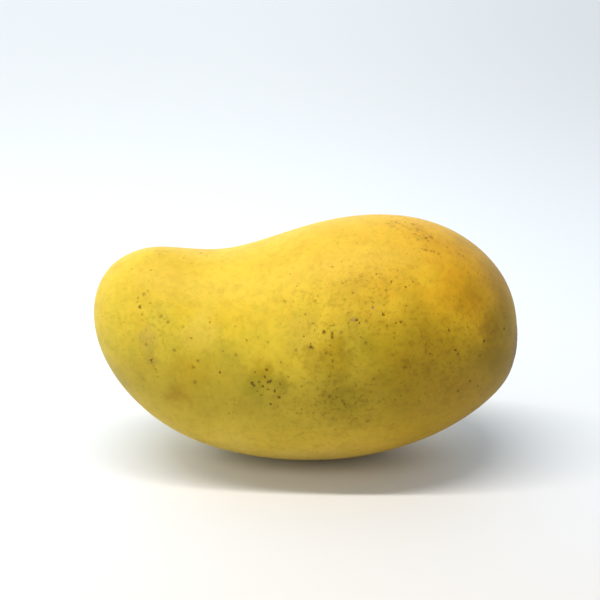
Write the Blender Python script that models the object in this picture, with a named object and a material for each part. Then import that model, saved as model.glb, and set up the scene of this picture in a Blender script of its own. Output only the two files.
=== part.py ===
# A ripe yellow mango of the long kidney-shaped kind, lying on its belly edge.
# Metres, +Z up. The long axis runs along X: narrow apex at -X, stem end at +X.
# The hollow side of the kidney is up, and the origin is on the surface that the fruit
# rests on, under the middle of its box.

from math import pi

import bmesh
import bpy
import numpy as np
from mathutils import Matrix

# Sections across the long axis, as callipers would take them
LENGTH = 0.120
STATION_SHARES = (0.04, 0.15, 0.31, 0.50, 0.69, 0.85, 0.96)  # of the length, from the apex
STATION_HEIGHTS = (0.0300, 0.0500, 0.0585, 0.0680, 0.0685, 0.0555, 0.0325)
STATION_DEPTHS = (0.0255, 0.0440, 0.0545, 0.0595, 0.0595, 0.0495, 0.0300)
STATION_MIDDLES = (0.0410, 0.0365, 0.0320, 0.0340, 0.0370, 0.0385, 0.0380)  # above the surface

# The two rounded ends
APEX_RADIUS = 0.027
APEX_DEPTH_SHARE = 0.83  # depth over height
APEX_MIDDLE = 0.0425
STEM_RADIUS = 0.0375
STEM_DEPTH_SHARE = 0.90
STEM_MIDDLE = 0.0365

# How the sections leave a plain oval
BELLY_FULLNESS = 0.05  # the lower half is wider than the upper by this share each way
FRONT_FULLNESS = 0.02  # the -Y cheek is fuller than the +Y one
APEX_SWAY = 0.0012  # the apex leans this far towards +Y

# The beak, where the flower's style stood, and the hollow beside it
BEAK_SHARE = 0.150
BEAK_HEIGHT = 0.0006
BEAK_SPREAD = 0.0065
HOLLOW_SHARE = 0.275
HOLLOW_DEPTH = 0.0005
HOLLOW_SPREAD = 0.0100

# The stem end: a shallow basin with the round sunken scar of the stalk and its low rim
SCAR_DROP = 0.0020  # the middle of the scar lies this far below the fruit's end
BASIN_DEPTH = 0.0003
BASIN_SPREAD = 0.0080
SCAR_RADIUS = 0.0036
SCAR_EDGE = 0.0012
SCAR_SINK = 0.0003
RIM_RADIUS = 0.0045
RIM_HEIGHT = 0.0002
RIM_SPREAD = 0.0009
SCAR_PIT_DEPTH = 0.0004
SCAR_PIT_SPREAD = 0.0012

# Slow swells of the skin: waves round the section, waves along the fruit, turn, height
SWELLS = ((2, 3, 0.6, 0.00020), (3, 4, 2.1, 0.00014), (4, 6, 4.0, 0.00010))

# The weight presses the belly flat on the surface
FLAT_DEPTH = 0.0008
FLAT_EASE = 0.0003  # height over which the flat spot runs out into the round

# Mesh
SEGMENTS = 72
RINGS = 64
RING_CROWDING = 1.6  # over 1 draws the rings together towards the stem scar

SKIN_COLOUR = (0.76, 0.50, 0.07, 1.0)
SKIN_ROUGHNESS = 0.5


def smooth_curve(places, values):
    """The cubic curve through the values, level at both ends, as a function."""
    places = np.array(places)
    values = np.array(values)
    steps = np.diff(places)
    rises = np.diff(values) / steps
    rows = np.eye(len(places))
    wanted = np.zeros(len(places))
    for i in range(1, len(places) - 1):
        rows[i, i - 1] = 1 / steps[i - 1]
        rows[i, i] = 2 / steps[i - 1] + 2 / steps[i]
        rows[i, i + 1] = 1 / steps[i]
        wanted[i] = 3 * (rises[i - 1] / steps[i - 1] + rises[i] / steps[i])
    slopes = np.linalg.solve(rows, wanted)

    def at(place):
        i = np.clip(np.searchsorted(places, place) - 1, 0, len(steps) - 1)
        t = (place - places[i]) / steps[i]
        start = values[i] * (1 + 2 * t) + slopes[i] * steps[i] * t
        end = values[i + 1] * (3 - 2 * t) - slopes[i + 1] * steps[i] * (1 - t)
        return start * (1 - t) ** 2 + end * t**2

    return at


def section_curves():
    """Half height, half depth and middle of the section, by angle from the apex.

    A section's half size is its fullness times the sine of the angle, so that
    both ends close as round domes.
    """
    angles = np.arccos(1 - 2 * np.array(STATION_SHARES))
    all_angles = [0, *angles, pi]
    apex_fullness = (APEX_RADIUS * LENGTH / 2) ** 0.5
    stem_fullness = (STEM_RADIUS * LENGTH / 2) ** 0.5
    heights = np.array(STATION_HEIGHTS) / 2 / np.sin(angles)
    depths = np.array(STATION_DEPTHS) / 2 / np.sin(angles)
    tall = smooth_curve(all_angles, [apex_fullness, *heights, stem_fullness])
    deep = smooth_curve(
        all_angles,
        [apex_fullness * APEX_DEPTH_SHARE, *depths, stem_fullness * STEM_DEPTH_SHARE],
    )
    middle = smooth_curve(all_angles, [APEX_MIDDLE, *STATION_MIDDLES, STEM_MIDDLE])
    return tall, deep, middle


def bell(distance, spread):
    """1 at the centre, falling smoothly to nothing a few spreads away."""
    return np.exp(-((distance / spread) ** 2))


def step_down(distance, edge, softness):
    """1 inside the edge and 0 outside it, with a soft change."""
    t = np.clip((edge + softness / 2 - distance) / softness, 0, 1)
    return t * t * (3 - 2 * t)


def fruit_points(unit_points):
    """Moves points of a unit ball, with its poles on X, onto the mango."""
    angle = np.arccos(np.clip(-unit_points[:, 0], -1, 1))
    angle = pi * (1 - (1 - angle / pi) ** RING_CROWDING)
    around = np.arctan2(unit_points[:, 1], unit_points[:, 2])  # 0 at the top
    tall, deep, middle = section_curves()

    swell = np.zeros(len(angle))
    for round_waves, long_waves, turn, height in SWELLS:
        swell += height * np.cos(round_waves * around + turn) * np.sin(long_waves * angle + turn)
    half_height = (tall(angle) + swell) * np.sin(angle)
    half_depth = (deep(angle) + swell) * np.sin(angle)

    x = -LENGTH / 2 * np.cos(angle)
    z = middle(angle) + half_height * np.cos(around)
    side = np.sin(around) - FRONT_FULLNESS * np.sin(around) ** 2
    y = half_depth * side * (1 - BELLY_FULLNESS * np.cos(around))
    y += APEX_SWAY * (1 + np.cos(angle)) ** 2 / 4

    # The beak and the hollow lie on the top line, and push the skin up and down.
    for share, height, spread in (
        (BEAK_SHARE, BEAK_HEIGHT, BEAK_SPREAD),
        (HOLLOW_SHARE, -HOLLOW_DEPTH, HOLLOW_SPREAD),
    ):
        line_angle = np.arccos(1 - 2 * share)
        top = middle(line_angle) + tall(line_angle) * np.sin(line_angle)
        away = np.hypot(np.hypot(x + LENGTH * (0.5 - share), y), z - top)
        z += height * bell(away, spread)

    # The stem end is shaped along X, by the distance from the middle of the scar.
    stem_side = angle > pi / 2
    away = np.hypot(y, z - STEM_MIDDLE + SCAR_DROP)
    relief = -BASIN_DEPTH * bell(away, BASIN_SPREAD)
    relief -= SCAR_SINK * step_down(away, SCAR_RADIUS, SCAR_EDGE)
    relief += RIM_HEIGHT * bell(away - RIM_RADIUS, RIM_SPREAD)
    relief -= SCAR_PIT_DEPTH * bell(away, SCAR_PIT_SPREAD)
    x += np.where(stem_side, relief, 0)
    return np.stack([x, y, z], axis=1)


def rested(points):
    """Sets the points down on z = 0, with the belly pressed flat there."""
    height = points[:, 2] - points[:, 2].min() - FLAT_DEPTH + FLAT_EASE
    eased = np.clip(height, 0, 2 * FLAT_EASE) ** 2 / (4 * FLAT_EASE)
    points[:, 2] = eased + np.maximum(height - 2 * FLAT_EASE, 0)
    low = points.min(axis=0)
    high = points.max(axis=0)
    points[:, :2] -= ((low + high) / 2)[:2]
    return points


def skin_material():
    material = bpy.data.materials.new("mango_skin")
    material.use_nodes = True
    shader = material.node_tree.nodes["Principled BSDF"]
    shader.inputs["Base Color"].default_value = SKIN_COLOUR
    shader.inputs["Roughness"].default_value = SKIN_ROUGHNESS
    shader.inputs["Metallic"].default_value = 0.0
    return material


def build_mango(collection):
    mesh = bpy.data.meshes.new("mango")
    ball = bmesh.new()
    poles_on_x = Matrix.Rotation(pi / 2, 4, "Y")
    bmesh.ops.create_uvsphere(
        ball, u_segments=SEGMENTS, v_segments=RINGS, radius=1, matrix=poles_on_x
    )
    unit_points = np.array([vertex.co for vertex in ball.verts])
    for vertex, point in zip(ball.verts, rested(fruit_points(unit_points))):
        vertex.co = point
    ball.to_mesh(mesh)
    ball.free()
    mesh.shade_smooth()
    mesh.materials.append(skin_material())
    mango = bpy.data.objects.new("mango", mesh)
    collection.objects.link(mango)
    return mango


def main():
    for old in list(bpy.data.objects):
        bpy.data.objects.remove(old, do_unlink=True)
    collection = bpy.data.collections.new("mango")
    bpy.context.scene.collection.children.link(collection)
    build_mango(collection)


main()
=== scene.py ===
import math

import bpy
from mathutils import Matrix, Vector


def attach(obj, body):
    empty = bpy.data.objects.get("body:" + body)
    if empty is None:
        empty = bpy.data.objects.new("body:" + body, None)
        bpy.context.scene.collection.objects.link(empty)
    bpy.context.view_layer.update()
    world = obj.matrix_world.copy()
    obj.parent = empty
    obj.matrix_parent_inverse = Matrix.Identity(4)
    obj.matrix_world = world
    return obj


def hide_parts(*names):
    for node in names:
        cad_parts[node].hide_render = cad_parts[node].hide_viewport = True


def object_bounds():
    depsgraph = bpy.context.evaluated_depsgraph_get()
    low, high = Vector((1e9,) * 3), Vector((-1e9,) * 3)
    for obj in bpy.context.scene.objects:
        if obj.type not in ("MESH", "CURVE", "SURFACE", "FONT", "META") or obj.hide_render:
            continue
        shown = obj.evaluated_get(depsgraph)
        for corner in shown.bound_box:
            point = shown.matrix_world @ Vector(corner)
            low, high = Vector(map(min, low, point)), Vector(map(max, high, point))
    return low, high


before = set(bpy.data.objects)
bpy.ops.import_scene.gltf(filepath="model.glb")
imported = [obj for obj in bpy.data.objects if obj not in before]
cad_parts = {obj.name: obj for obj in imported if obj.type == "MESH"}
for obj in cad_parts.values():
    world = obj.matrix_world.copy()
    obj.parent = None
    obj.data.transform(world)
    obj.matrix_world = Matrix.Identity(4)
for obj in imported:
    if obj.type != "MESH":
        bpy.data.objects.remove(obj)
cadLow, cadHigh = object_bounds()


def deselectAll():
    bpy.ops.object.select_all(action="DESELECT")


def makeActive(thing):
    deselectAll()
    thing.select_set(True)
    bpy.context.view_layer.objects.active = thing


def newMaterial(name):
    material = bpy.data.materials.new(name)
    material.use_nodes = True
    return material, material.node_tree, material.node_tree.nodes["Principled BSDF"]


def addNode(tree, kind, inputs=None, **settings):
    node = tree.nodes.new(kind)
    for name, value in settings.items():
        setattr(node, name, value)
    for name, value in (inputs or {}).items():
        if isinstance(value, bpy.types.NodeSocket):
            tree.links.new(value, node.inputs[name])
        else:
            node.inputs[name].default_value = value
    return node


def maths(tree, operation, first, second=0.0):
    return addNode(tree, "ShaderNodeMath", {0: first, 1: second}, operation=operation).outputs[0]


def vectorMaths(tree, operation, first, second):
    node = addNode(tree, "ShaderNodeVectorMath", {0: first, 1: second}, operation=operation)
    return node.outputs["Value" if operation == "DISTANCE" else "Vector"]


def objectPlace(tree):
    return addNode(tree, "ShaderNodeTexCoord").outputs["Object"]


def separate(tree, place):
    return addNode(tree, "ShaderNodeSeparateXYZ", {0: place}).outputs


def smoothStep(tree, value, start, end, low=0.0, high=1.0):
    return addNode(tree, "ShaderNodeMapRange", {
        "Value": value, "From Min": start, "From Max": end, "To Min": low, "To Max": high,
    }, interpolation_type="SMOOTHSTEP").outputs["Result"]


def mixColour(tree, amount, under, over, how="MULTIPLY"):
    under = (*under, 1) if isinstance(under, tuple) else under
    over = (*over, 1) if isinstance(over, tuple) else over
    return addNode(tree, "ShaderNodeMix", {0: amount, 6: under, 7: over},
                   data_type="RGBA", blend_type=how).outputs[2]


def colourRamp(tree, value, stops):
    start, end = stops[0][0], stops[-1][0]
    share = addNode(tree, "ShaderNodeMapRange", {"Value": value, "From Min": start, "From Max": end})
    ramp = addNode(tree, "ShaderNodeValToRGB", {"Fac": share.outputs["Result"]})
    ramp.color_ramp.interpolation = "B_SPLINE"
    while len(ramp.color_ramp.elements) < len(stops):
        ramp.color_ramp.elements.new(0.5)
    for element, (place, colour) in zip(ramp.color_ramp.elements, stops):
        element.position = (place - start) / (end - start)
        element.color = (*colour, 1)
    return ramp.outputs["Color"]


def noise(tree, place, perMillimetre, detail, output="Fac"):
    return addNode(tree, "ShaderNodeTexNoise", {
        "Vector": place, "Scale": perMillimetre, "Detail": detail,
    }).outputs[output]


def strayed(tree, place, perMillimetre, detail, reach):
    # The place moved about by noise, so that what is laid there gets a ragged edge
    stray = noise(tree, place, perMillimetre, detail, "Color")
    stray = vectorMaths(tree, "SUBTRACT", stray, (0.5, 0.5, 0.5))
    return vectorMaths(tree, "ADD", place, vectorMaths(tree, "MULTIPLY", stray, reach))


def softSpot(tree, place, centre, radius, soft, height):
    # Full height in the middle of the spot, falling to 0 at its edge; place and radius in mm
    away = vectorMaths(tree, "DISTANCE", place, centre * 1000)
    return smoothStep(tree, away, radius, radius * soft, 0.0, height)


# The photograph's view: from the front, a little above the fruit, with a long lens
cameraSetup = {
    "aim": (-0.0016, 0.0, 0.0463),
    "elevation": 23.1,
    "distance": 0.60,
    "frameWidth": 0.1689,  # what the square picture spans at the aim point
    "sensor": 36.0,
    "pixels": 600,
}


def makeCamera():
    tilt = math.radians(cameraSetup["elevation"])
    toCamera = Vector((0, -math.cos(tilt), math.sin(tilt)))
    data = bpy.data.cameras.new("photoCamera")
    data.sensor_width = cameraSetup["sensor"]
    data.lens = cameraSetup["sensor"] * cameraSetup["distance"] / cameraSetup["frameWidth"]
    camera = bpy.data.objects.new("photoCamera", data)
    camera.location = Vector(cameraSetup["aim"]) + toCamera * cameraSetup["distance"]
    camera.rotation_euler = (math.pi / 2 - tilt, 0, 0)
    bpy.context.scene.collection.objects.link(camera)
    bpy.context.scene.camera = camera
    print("camera at", tuple(round(value, 3) for value in camera.location))


def pixelPlace(skin, across, down):
    # The point of the skin, in metres, that the camera sees at a pixel of the photograph
    camera = bpy.context.scene.camera
    step = cameraSetup["frameWidth"] / cameraSetup["pixels"]
    middle = cameraSetup["pixels"] / 2
    sight = Vector(((across - middle) * step, (middle - down) * step, -cameraSetup["distance"]))
    sight.rotate(camera.rotation_euler)
    found, place, _, _ = skin.ray_cast(camera.location, sight.normalized())
    if not found:
        print("no skin at pixel", across, down)
    return place


# One long lamp above the table, a window in front on the left, and a pale room
lightSetup = {
    # name, place, length and width, power
    "lamps": (
        ("tableLamp", (-0.23, -0.050, 1.0), (1.04, 0.05), 8.0),
        ("window", (-0.28, -0.56, 0.80), (0.80, 0.30), 0.8),
    ),
    "lampColour": (1.0, 0.98, 0.945),
    "roomColour": (0.70, 0.85, 1.0),
    # axis of the room, direction along it, brightness that way
    "roomSides": ((0, -1, 1.20), (0, 1, 0.32), (1, 1, 1.60), (1, -1, 0.18)),
}


def makeLights():
    for name, place, size, power in lightSetup["lamps"]:
        data = bpy.data.lights.new(name, "AREA")
        data.shape = "RECTANGLE"
        data.size, data.size_y = size
        data.energy = power
        data.color = lightSetup["lampColour"]
        lamp = bpy.data.objects.new(name, data)
        lamp.location = place
        towards = Vector((place[0], 0, 0)) - Vector(place)
        lamp.rotation_euler = towards.to_track_quat("-Z", "Y").to_euler()
        bpy.context.scene.collection.objects.link(lamp)
    world = bpy.data.worlds.new("paleRoom")
    bpy.context.scene.world = world
    world.use_nodes = True
    tree = world.node_tree
    background = tree.nodes["Background"]
    background.inputs["Color"].default_value = (*lightSetup["roomColour"], 1)
    along = separate(tree, addNode(tree, "ShaderNodeTexCoord").outputs["Generated"])
    brightness = 0.0
    for axis, sign, strength in lightSetup["roomSides"]:
        side = maths(tree, "MULTIPLY", along[axis], sign * strength)
        brightness = maths(tree, "ADD", maths(tree, "MAXIMUM", side, 0.0), brightness)
    tree.links.new(brightness, background.inputs["Strength"])
    print("lamp and room lit")


# A pale table: warm in front, white in the middle, cool far behind, dimmer on the right; its changes of
# brightness are painted light and shade
floorSetup = {
    "side": 6.0,
    "roughness": 0.6,
    # metres behind the fruit and the table's colour there, with painted light and shade in how bright it
    # is: darker at the front and in a band far behind, lighter again beyond
    "depths": (
        (-0.11, (0.850, 0.750, 0.660)),
        (-0.03, (0.925, 0.900, 0.875)),
        (0.16, (0.915, 0.895, 0.875)),
        (0.36, (0.790, 0.750, 0.710)),
        (0.60, (0.990, 0.945, 0.900)),
    ),
    # painted shade: the table grows dimmer from here towards the right
    "paintedShadeFrom": -0.05,  # metres to the right of the fruit's middle
    "paintedShadeTo": 0.22,
    "paintedShade": 0.83,
}


def makeFloor():
    deselectAll()
    bpy.ops.mesh.primitive_plane_add(size=floorSetup["side"])
    floor = bpy.context.object
    floor.name = "paleTable"
    material, tree, shader = newMaterial("paleTable")
    along = separate(tree, objectPlace(tree))
    colour = colourRamp(tree, along[1], floorSetup["depths"])
    # painted shade on the right of the table
    paintedRightShade = smoothStep(tree, along[0], floorSetup["paintedShadeFrom"], floorSetup["paintedShadeTo"], 1.0, floorSetup["paintedShade"])
    tree.links.new(mixColour(tree, 1.0, colour, paintedRightShade), shader.inputs["Base Color"])
    shader.inputs["Roughness"].default_value = floorSetup["roughness"]
    floor.data.materials.append(material)
    print("table laid")


skinSetup = {
    "mergeWithin": 0.00001,
    "seamMargin": 0.01,
    "levels": 2,
    "lumpSize": 0.011,
    "lumpDepth": 0.00010,
    "poresPerMillimetre": 1.1,
    "poreDepth": 0.00002,
    "poreStrength": 0.35,
    "roughness": 0.53,
    "specular": 0.23,
}


def makeSkin():
    makeActive(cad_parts["mango"])
    bpy.ops.object.duplicate()
    skin = bpy.context.object
    skin.name = "mangoSkin"
    skin.data.name = "mangoSkin"
    bpy.ops.object.mode_set(mode="EDIT")
    bpy.ops.mesh.select_all(action="SELECT")
    bpy.ops.mesh.remove_doubles(threshold=skinSetup["mergeWithin"])
    bpy.ops.mesh.tris_convert_to_quads()
    bpy.ops.object.mode_set(mode="OBJECT")
    quads = sum(len(face.vertices) == 4 for face in skin.data.polygons)
    print("skin cage:", len(skin.data.polygons), "faces,", quads, "of them four-sided")
    unwrapSkin(skin)
    finer = skin.modifiers.new("finer", "SUBSURF")
    finer.levels = skinSetup["levels"]
    finer.render_levels = skinSetup["levels"]
    bpy.ops.object.modifier_apply(modifier="finer")
    dentSkin(skin)
    wrinkleScar(skin)
    bpy.ops.object.shade_smooth()
    skin.data.materials.clear()
    skin.data.materials.append(makeSkinMaterial(skin))
    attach(skin, "root")
    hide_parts("mango")
    print("skin:", len(skin.data.polygons), "faces")


def unwrapSkin(skin):
    # One seam round the fruit parts the front cheek from the back one
    while skin.data.uv_layers:
        skin.data.uv_layers.remove(skin.data.uv_layers[0])
    skin.data.uv_layers.new(name="OFBake")
    bpy.ops.object.mode_set(mode="EDIT")
    bpy.ops.mesh.select_mode(type="FACE")
    bpy.ops.mesh.select_all(action="DESELECT")
    bpy.ops.object.mode_set(mode="OBJECT")
    for face in skin.data.polygons:
        face.select = face.center.y < 0
    bpy.ops.object.mode_set(mode="EDIT")
    bpy.ops.mesh.region_to_loop()
    bpy.ops.mesh.mark_seam(clear=False)
    bpy.ops.mesh.select_mode(type="FACE")
    bpy.ops.mesh.select_all(action="SELECT")
    bpy.ops.uv.unwrap(method="MINIMUM_STRETCH", margin=skinSetup["seamMargin"])
    bpy.ops.object.mode_set(mode="OBJECT")
    print("skin unwrapped in two halves")


def dentSkin(skin):
    # Slow dents, only inwards, so that the cheeks are not a perfect form
    lumps = bpy.data.textures.new("skinLumps", "CLOUDS")
    lumps.noise_scale = skinSetup["lumpSize"]
    lumps.noise_depth = 1
    dent = skin.modifiers.new("dent", "DISPLACE")
    dent.texture = lumps
    dent.texture_coords = "LOCAL"
    dent.mid_level = 1.0
    dent.strength = skinSetup["lumpDepth"]
    bpy.ops.object.modifier_apply(modifier="dent")


def makeSkinMaterial(skin):
    material, tree, shader = newMaterial("mangoSkin")
    place = vectorMaths(tree, "MULTIPLY", objectPlace(tree), (1000, 1000, 1000))
    ragged = strayed(tree, place, *freckleSetup["ragged"])
    along = separate(tree, strayed(tree, place, *groundSetup["wander"]))

    # The back cheek has the front cheek's zones, strayed its own way
    frontY = maths(tree, "MULTIPLY", maths(tree, "ABSOLUTE", along[1]), -1.0)
    bothSides = addNode(tree, "ShaderNodeCombineXYZ", {0: along[0], 1: frontY, 2: along[2]}).outputs[0]

    colour = layGround(tree, skin, along, bothSides)
    colour = layPatches(tree, skin, place, colour)
    colour = layFreckles(tree, skin, place, bothSides, ragged, colour)
    colour = laySpecks(tree, skin, ragged, colour)
    colour = layScar(tree, place, ragged, colour)
    tree.links.new(colour, shader.inputs["Base Color"])
    shader.inputs["Roughness"].default_value = skinSetup["roughness"]
    shader.inputs["Specular IOR Level"].default_value = skinSetup["specular"]
    bump = addNode(tree, "ShaderNodeBump", {
        "Height": noise(tree, place, skinSetup["poresPerMillimetre"], 3.0),
        "Strength": skinSetup["poreStrength"],
        "Distance": skinSetup["poreDepth"],
    })
    tree.links.new(bump.outputs["Normal"], shader.inputs["Normal"])
    print("skin material:", len(tree.nodes), "nodes")
    return material


groundSetup = {
    # noise per mm, its detail, and how far in mm it moves the ground colours about
    "wander": (0.055, 3.0, (26, 26, 22)),
    # height in mm above the table and the colour there, on both cheeks: partly the skin's own colour,
    # partly painted shade, darkest about 22 mm up, and along the bottom edge a painted reflection of the
    # table
    "heights": (
        (0, (0.82, 0.600, 0.140)),
        (11, (0.74, 0.515, 0.038)),
        (22, (0.59, 0.412, 0.022)),
        (35, (0.66, 0.460, 0.026)),
        (46, (0.95, 0.660, 0.037)),
        (56, (0.96, 0.618, 0.034)),
        (68, (0.86, 0.520, 0.027)),
    ),
    # place in mm along the fruit and how much of each colour is left there
    "lengths": (
        (-56, (0.90, 0.90, 1.60)),
        (-20, (0.99, 0.99, 1.50)),
        (12, (0.99, 0.97, 1.00)),
        (36, (0.94, 0.80, 0.42)),
        (50, (0.60, 0.505, 0.32)),
        (58, (0.55, 0.46, 0.36)),
    ),
    # soft zones of another tint: pixel of the photograph, radius in mm, tint, how much
    "zones": (
        (456, 284, 15, (1.16, 1.00, 0.62), 0.60),
        (168, 334, 12, (0.92, 0.97, 1.20), 0.60),
        (400, 392, 28, (0.69, 0.68, 0.16), 0.85),
        (495, 350, 13, (0.76, 0.80, 0.80), 0.80),
        (118, 372, 11, (0.80, 0.78, 1.10), 0.70),
        (498, 284, 13, (0.86, 0.82, 0.65), 0.70),
        (370, 322, 14, (0.86, 0.86, 0.90), 0.60),
    ),
    "zoneSoftness": 0.1,  # share of the radius that has the full tint
}


def layGround(tree, skin, along, bothSides):
    # the colour by height holds painted shade low on the cheeks and a painted table reflection along the
    # bottom
    colour = colourRamp(tree, along[2], groundSetup["heights"])
    colour = mixColour(tree, 1.0, colour, colourRamp(tree, along[0], groundSetup["lengths"]))
    soft = groundSetup["zoneSoftness"]
    for across, down, radius, tint, amount in groundSetup["zones"]:
        near = softSpot(tree, bothSides, pixelPlace(skin, across, down), radius, soft, amount)
        colour = mixColour(tree, near, colour, tint)
    return colour


patchSetup = {
    # noise per mm, its detail, and how far in mm it frays the patches' edges
    "fray": (0.30, 3.0, (7, 7, 7)),
    "softness": 0.25,
    # small patches of the front cheek: pixel of the photograph, radius in mm, tint, how much
    "patches": (
        (266, 386, 10, (0.80, 0.84, 0.70), 0.50),
        (345, 400, 9, (0.72, 0.75, 0.10), 0.60),
        (205, 250, 5, (0.90, 0.84, 0.80), 0.60),
        (190, 376, 8, (0.92, 0.84, 0.35), 0.60),
        (263, 372, 4.5, (0.78, 0.68, 0.10), 0.80),
        (254, 385, 4, (0.72, 0.80, 0.45), 0.60),
        (279, 385, 4, (0.68, 0.69, 0.40), 0.60),
        (176, 395, 5.5, (0.80, 0.70, 0.30), 0.80),
        (150, 354, 4, (0.80, 0.78, 1.20), 0.70),
        (158, 314, 5, (0.92, 0.98, 1.15), 0.60),
        (147, 336, 4.5, (0.86, 0.80, 1.60), 0.70),
        (134, 344, 5, (0.88, 0.88, 0.90), 0.60),
        (184, 314, 5, (1.04, 1.00, 0.55), 0.60),
        (232, 316, 8, (1.00, 0.95, 0.55), 0.60),
        (200, 332, 8, (1.07, 1.08, 1.90), 0.75),
        (232, 353, 5.5, (0.84, 0.88, 0.90), 0.55),
        (302, 334, 9, (0.83, 0.84, 1.25), 0.70),
        (350, 340, 9, (0.76, 0.80, 0.85), 0.80),
        (335, 347, 5.5, (0.72, 0.65, 0.15), 0.75),
        (314, 357, 5, (0.76, 0.74, 0.55), 0.75),
        (337, 367, 6, (0.73, 0.69, 0.20), 0.70),
        (380, 341, 8, (0.80, 0.81, 0.55), 0.70),
        (406, 366, 5.5, (0.92, 0.85, 0.25), 0.50),
        (415, 315, 7, (0.73, 0.71, 0.65), 0.70),
        (430, 275, 5, (1.06, 1.18, 1.50), 0.65),
        (450, 390, 8, (0.88, 0.85, 0.55), 0.65),
        (420, 352, 9, (0.83, 0.82, 1.05), 0.70),
        (440, 343, 8, (0.84, 0.80, 0.60), 0.60),
        (470, 285, 9, (0.94, 0.95, 0.45), 0.70),
        (468, 302, 7, (0.77, 0.73, 0.35), 0.60),
        (430, 240, 4.5, (0.84, 0.77, 0.38), 0.75),
        (455, 262, 5, (0.90, 0.93, 0.80), 0.60),
        (416, 230, 4, (0.86, 0.80, 0.50), 0.60),
        (494, 352, 7, (0.93, 0.88, 0.05), 0.70),
        (505, 318, 7, (0.75, 0.77, 0.60), 0.70),
        (490, 329, 6, (0.62, 0.58, 0.30), 0.75),
    ),
    # marbling all over: noise per mm, where it starts and is full, how much, tint
    "marbling": (
        (0.16, 0.40, 0.66, 0.22, (0.72, 0.78, 0.55)),
        (0.27, 0.46, 0.68, 0.26, (0.86, 0.72, 0.50)),
        (0.55, 0.48, 0.66, 0.20, (0.70, 0.74, 0.60)),
    ),
}


def layPatches(tree, skin, place, colour):
    frayed = strayed(tree, place, *patchSetup["fray"])
    for across, down, radius, tint, amount in patchSetup["patches"]:
        centre = pixelPlace(skin, across, down)
        near = softSpot(tree, frayed, centre, radius, patchSetup["softness"], amount)
        colour = mixColour(tree, near, colour, tint)
    for perMillimetre, start, full, amount, tint in patchSetup["marbling"]:
        marbled = smoothStep(tree, noise(tree, place, perMillimetre, 3.0), start, full, 0.0, amount)
        colour = mixColour(tree, marbled, colour, tint)
    return colour


freckleSetup = {
    # noise per mm, its detail, and how far in mm it makes freckles and specks ragged
    "ragged": (1.6, 2.0, (1.3, 1.3, 1.3)),
    # share of the cells with a freckle: everywhere, and added round a pixel of the photograph
    "everywhere": 0.10,
    "zones": (  # pixel, radius in mm, share
        (330, 330, 16, 0.35),
        (390, 300, 14, 0.40),
        (440, 360, 20, 0.45),
        (480, 300, 16, 0.20),
        (410, 232, 9, 0.50),
        (345, 398, 10, 0.40),
        (330, 400, 22, 0.30),
        (150, 325, 13, 0.35),
        (205, 255, 5, 0.25),
    ),
    "zoneSoftness": 0.2,
    # dull mottle where the freckles are: noise per mm, where it starts and is full, how much
    "mottle": ((0.32, 0.46, 0.70, 0.32), (0.85, 0.50, 0.66, 0.80)),
    "mottleEverywhere": 0.15,
    "mottleTint": (0.68, 0.62, 0.36),
    # freckles: cells per mm, largest radius in cells, how much
    "freckles": ((1.15, 0.26, 0.70), (0.62, 0.20, 0.80), (0.30, 0.12, 0.80)),
    "edge": (0.05, -0.07),  # in cells, outside and inside the freckle's rim
    "chanceSoftness": 0.05,
    "freckleTint": (0.38, 0.32, 0.14),
}


def layFreckles(tree, skin, place, bothSides, ragged, colour):
    thick = freckleSetup["everywhere"]
    soft = freckleSetup["zoneSoftness"]
    for across, down, radius, share in freckleSetup["zones"]:
        near = softSpot(tree, bothSides, pixelPlace(skin, across, down), radius, soft, share)
        thick = maths(tree, "ADD", near, thick)
    mottleShare = maths(tree, "ADD", thick, freckleSetup["mottleEverywhere"])
    for perMillimetre, start, full, amount in freckleSetup["mottle"]:
        mottle = smoothStep(tree, noise(tree, place, perMillimetre, 4.0), start, full, 0.0, amount)
        mottle = maths(tree, "MULTIPLY", mottle, mottleShare)
        colour = mixColour(tree, mottle, colour, freckleSetup["mottleTint"])
    # A grid of cells with a dot in some of them
    unsure = freckleSetup["chanceSoftness"]
    for perMillimetre, size, amount in freckleSetup["freckles"]:
        cells = addNode(tree, "ShaderNodeTexVoronoi", {"Vector": ragged, "Scale": perMillimetre})
        chance = addNode(tree, "ShaderNodeSeparateColor", {0: cells.outputs["Color"]}).outputs
        present = maths(tree, "SUBTRACT", thick, chance[0])
        present = smoothStep(tree, present, -unsure, unsure, 0.0, amount)
        wide = maths(tree, "MULTIPLY", chance[1], size)
        dot = maths(tree, "SUBTRACT", cells.outputs["Distance"], wide)
        dot = smoothStep(tree, dot, *freckleSetup["edge"])
        dot = maths(tree, "MULTIPLY", dot, present)
        colour = mixColour(tree, dot, colour, freckleSetup["freckleTint"])
    return colour


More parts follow.
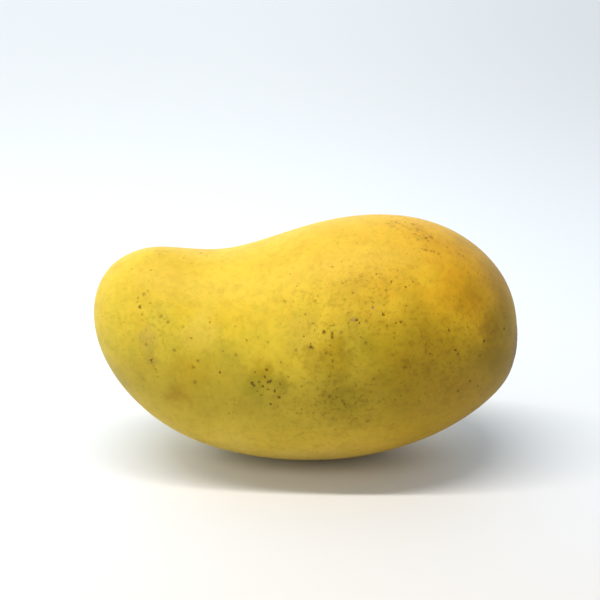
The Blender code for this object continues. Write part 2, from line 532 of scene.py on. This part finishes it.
# Specks and small healed scars that the photograph shows one by one: pixel and width in mm
speckSetup = {
    "faint": (
        (330, 396, 1.1), (337, 397, 1.2), (343, 401, 1.4), (374, 379, 1.0), (341, 332, 1.1),
        (138, 298, 1.2), (137, 302, 1.1), (142, 314, 1.1), (345, 404, 1.0), (333, 399, 0.9),
        (332, 267, 1.0), (315, 301, 1.0), (303, 292, 0.9), (285, 301, 1.1), (268, 342, 1.0),
        (353, 293, 1.1), (366, 321, 1.3), (379, 370, 0.9), (332, 361, 1.2), (229, 413, 0.8),
        (168, 322, 1.4), (183, 327, 1.2), (121, 324, 0.6), (146, 345, 1.2), (174, 350, 1.2),
        (191, 338, 0.8), (193, 367, 1.4), (207, 256, 1.0), (201, 253, 1.2), (160, 254, 1.1),
        (161, 316, 1.5), (144, 294, 1.2), (148, 291, 0.9), (198, 361, 1.2), (195, 382, 1.4),
        (372, 307, 0.8), (405, 367, 1.4), (305, 314, 0.9), (356, 403, 1.3), (296, 350, 1.3),
        (329, 397, 0.9), (368, 421, 1.2), (409, 239, 0.7), (384, 305, 1.2), (387, 326, 1.2),
        (505, 318, 0.8), (501, 306, 0.8), (460, 300, 0.7), (394, 333, 1.0), (394, 338, 1.0),
        (334, 325, 0.9), (366, 343, 1.2), (330, 345, 1.0), (326, 353, 1.0), (331, 355, 1.0),
        (333, 361, 1.0), (396, 277, 1.1), (386, 290, 1.0), (398, 271, 0.9), (343, 283, 0.8),
        (152, 363, 0.8), (154, 366, 0.8), (155, 369, 0.8), (157, 372, 0.8), (158, 377, 0.7),
        (413, 224, 1.4), (415, 234, 1.1), (431, 237, 1.7), (426, 250, 1.6), (422, 249, 0.9),
        (431, 251, 1.0), (434, 252, 1.0), (439, 254, 1.0), (441, 257, 1.0), (459, 254, 1.2),
        (463, 256, 1.0), (447, 247, 0.9), (392, 221, 0.9), (388, 221, 0.8), (236, 355, 1.2),
        (478, 386, 0.9), (405, 386, 1.0), (453, 372, 0.9), (468, 272, 0.9), (478, 273, 0.9),
    ),
    "dark": (
        (267, 370, 0.9), (255, 372, 0.8), (265, 377, 0.8), (252, 383, 1.2), (254, 385, 1.0),
        (259, 382, 0.8), (268, 382, 1.1), (270, 381, 1.1), (263, 386, 1.0), (268, 389, 0.6),
        (280, 384, 0.6), (257, 391, 0.7), (262, 395, 0.8), (275, 391, 1.0), (279, 397, 1.2),
        (271, 404, 0.9), (278, 406, 0.7), (311, 347, 1.3), (311, 344, 0.6), (324, 332, 1.2),
        (332, 334, 0.9), (332, 337, 1.0), (315, 329, 0.6), (304, 336, 0.7), (357, 320, 1.1),
        (360, 323, 0.8), (383, 314, 0.9), (391, 282, 0.9), (401, 322, 0.9), (376, 274, 0.7),
        (140, 307, 1.0), (151, 360, 1.1), (220, 372, 0.9), (151, 270, 0.6), (426, 238, 1.1),
        (428, 241, 0.8), (419, 236, 0.7), (417, 229, 0.6), (396, 222, 0.9), (405, 222, 0.5),
        (484, 341, 1.0), (455, 350, 0.8), (458, 354, 0.9), (480, 355, 0.8), (458, 391, 0.9),
        (470, 381, 0.9), (504, 329, 0.9), (449, 330, 0.8), (430, 354, 0.7), (406, 287, 0.7),
        (210, 322, 0.6), (198, 413, 0.5),
    ),
    "healed": (
        (351, 320, 0.9), (353, 320, 0.9), (355, 320, 0.9), (372, 307, 0.9), (373, 308, 0.8),
    ),
    # kind, radius as a share of the width, share of it with the full tint, how much, tint
    "finishes": (
        ("faint", 0.60, 0.1, 0.80, (0.50, 0.42, 0.20), "MULTIPLY"),
        ("dark", 0.62, 0.3, 0.92, (0.30, 0.21, 0.0), "MULTIPLY"),
        ("healed", 0.60, 0.2, 0.75, (0.40, 0.20, 0.10), "MIX"),
    ),
}


def laySpecks(tree, skin, ragged, colour):
    for kind, share, soft, amount, tint, how in speckSetup["finishes"]:
        seen = 0.0
        for across, down, width in speckSetup[kind]:
            centre = pixelPlace(skin, across, down)
            speck = softSpot(tree, ragged, centre, width * share, soft, amount)
            seen = maths(tree, "MAXIMUM", speck, seen)
        colour = mixColour(tree, seen, colour, tint, how)
    return colour


scarSetup = {
    "height": 0.0340,
    "radius": 0.0036,
    "rays": 17,
    "rayDepth": 0.00010,
    "rayReach": 1.5,  # of the radius
    "rayWaver": 2.0,
    "uneven": (0.45, 3.0),  # noise per mm, and how far in mm it takes the rings out of round
    # rim, cork and pit: the shares of the radius where each starts and is full, and its colour
    "rings": (
        (1.5, 1.0, (0.200, 0.125, 0.040)),
        (1.05, 0.8, (0.115, 0.066, 0.026)),
        (0.55, 0.2, (0.030, 0.018, 0.010)),
    ),
    # a dark grey smear darkens the skin below the scar, towards the front
    "smearMove": (0, -2.5, -1),  # mm
    "smearReach": (3.2, 1.0),
    "smearUneven": 2.5,
    "smearAmount": 0.85,
    "smearTint": (0.46, 0.42, 0.44),
}


def wrinkleScar(skin):
    # The cork of the stem scar has shrunk into rays
    reach = scarSetup["radius"] * scarSetup["rayReach"]
    for vertex in skin.data.vertices:
        side = vertex.co.y
        up = vertex.co.z - scarSetup["height"]
        away = math.hypot(side, up)
        if vertex.co.x < 0 or away > reach:
            continue
        turn = math.atan2(up, side)
        waver = scarSetup["rayWaver"] * math.sin(3 * turn)
        ray = 0.5 + 0.5 * math.cos(scarSetup["rays"] * turn + waver)
        fade = math.sin(math.pi * away / reach) ** 2
        vertex.co.x -= scarSetup["rayDepth"] * ray * fade


def layScar(tree, place, ragged, colour):
    middle = Vector((cadHigh[0], 0, scarSetup["height"])) * 1000
    radius = scarSetup["radius"] * 1000
    perMillimetre, reach = scarSetup["uneven"]
    uneven = maths(tree, "SUBTRACT", noise(tree, place, perMillimetre, 3.0), 0.5)
    uneven = maths(tree, "MULTIPLY", uneven, reach)
    # darker, greyer skin in a ragged patch below and in front of the scar
    away = vectorMaths(tree, "DISTANCE", ragged, middle + Vector(scarSetup["smearMove"]))
    away = maths(tree, "ADD", away, maths(tree, "MULTIPLY", uneven, scarSetup["smearUneven"]))
    start, full = scarSetup["smearReach"]
    smear = smoothStep(tree, away, radius * start, radius * full, 0.0, scarSetup["smearAmount"])
    colour = mixColour(tree, smear, colour, scarSetup["smearTint"])
    away = vectorMaths(tree, "DISTANCE", ragged, middle)
    away = maths(tree, "ADD", away, uneven)
    for start, full, ring in scarSetup["rings"]:
        near = smoothStep(tree, away, radius * start, radius * full)
        colour = mixColour(tree, near, colour, ring, "MIX")
    return colour


bpy.context.scene.view_settings.view_transform = "Standard"
makeCamera()
makeLights()
makeFloor()
makeSkin()
